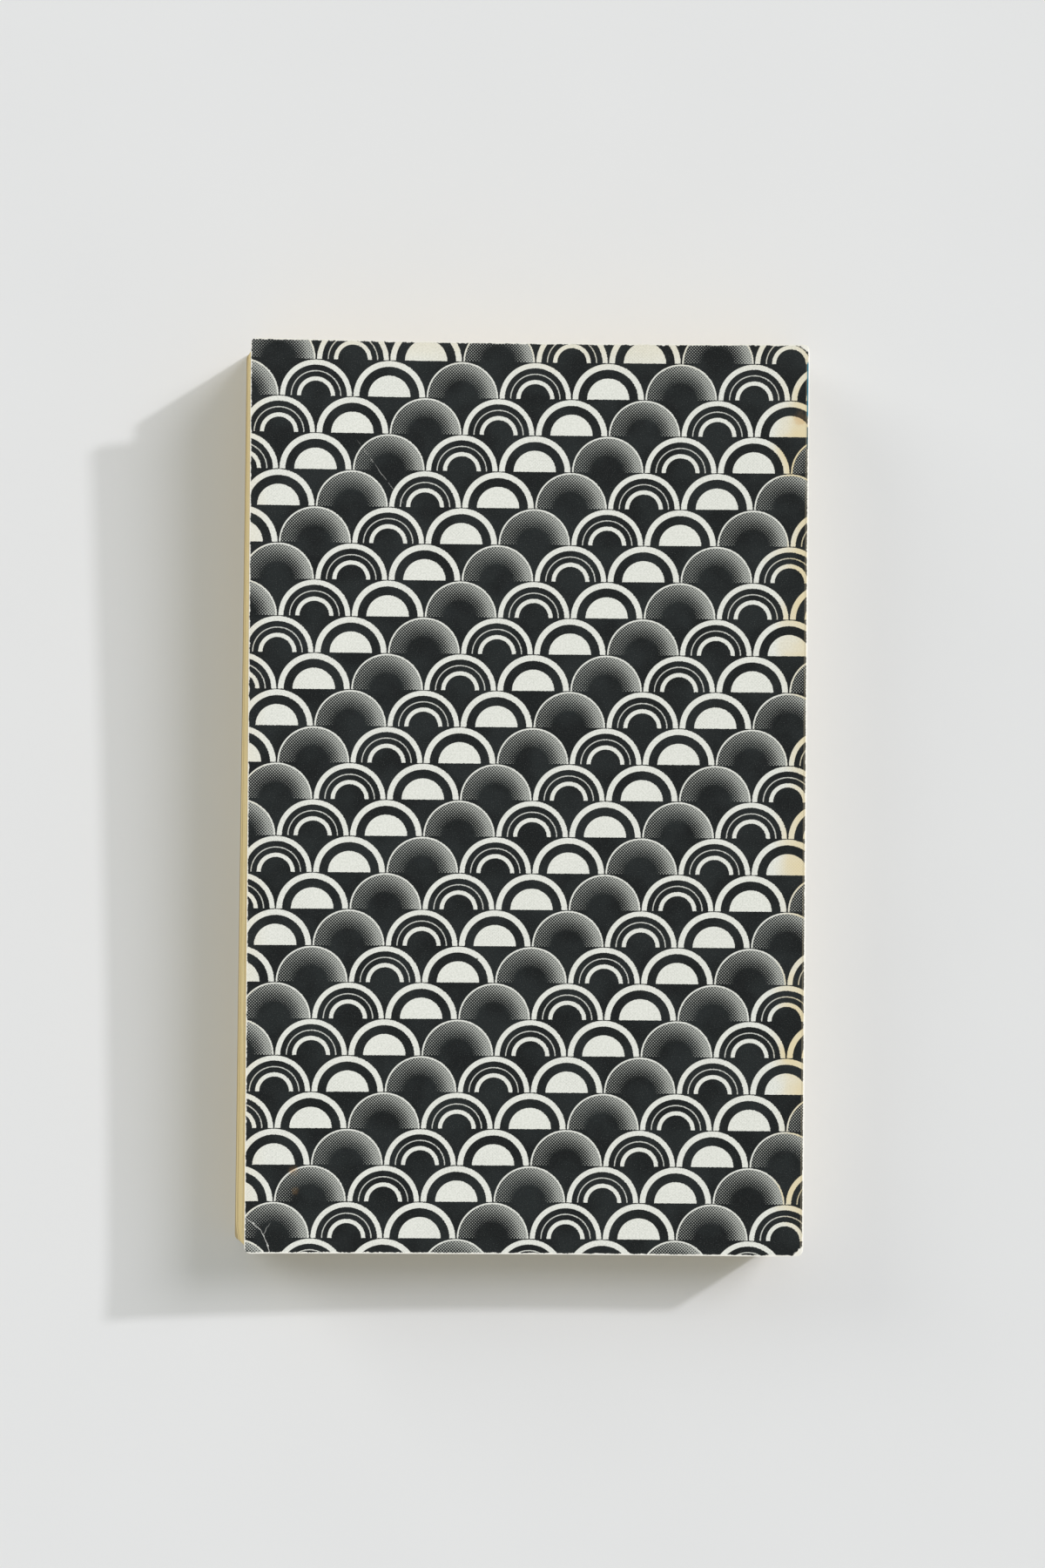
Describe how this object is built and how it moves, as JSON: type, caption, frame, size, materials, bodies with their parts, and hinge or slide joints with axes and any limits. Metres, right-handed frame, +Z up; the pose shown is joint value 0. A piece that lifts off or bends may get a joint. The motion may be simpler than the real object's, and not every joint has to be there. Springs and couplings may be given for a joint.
{
  "type": "paperback book",
  "caption": "Used perfect-bound paperback of the small rack size, lying on its front cover, with both covers hinged at the spine folds and the back cover curled up.",
  "frame": {"origin": "on the surface the book lies on, under the middle of its outline", "axes": "+Y along the spine from tail to head, +X from the fore-edge to the spine, +Z up from the front cover to the back cover"},
  "size_m": [0.1145, 0.181, 0.0221],
  "materials": {
    "aged_pages": "matte",
    "hot_melt_glue": "satin",
    "spine_card": "satin",
    "plain_card": "satin",
    "printed_card": "satin"
  },
  "bodies": {
    "book_block": {"page_block": "aged_pages", "binding_glue": "hot_melt_glue", "spine": "spine_card"},
    "back_cover": {"back_cover": "printed_card"},
    "front_cover": {"front_cover": "plain_card"}
  },
  "joints": [
    {"name": "back_cover_hinge", "type": "hinge", "parent": "book_block", "child": "back_cover", "pos_m": [0.0571, 0, 0.01495], "axis": [0, 1, 0], "range_deg": [0, 180]},
    {"name": "front_cover_hinge", "type": "hinge", "parent": "book_block", "child": "front_cover", "pos_m": [0.0536, 0, 0.00015], "axis": [0, -1, 0], "range_deg": [0, 180]}
  ]
}
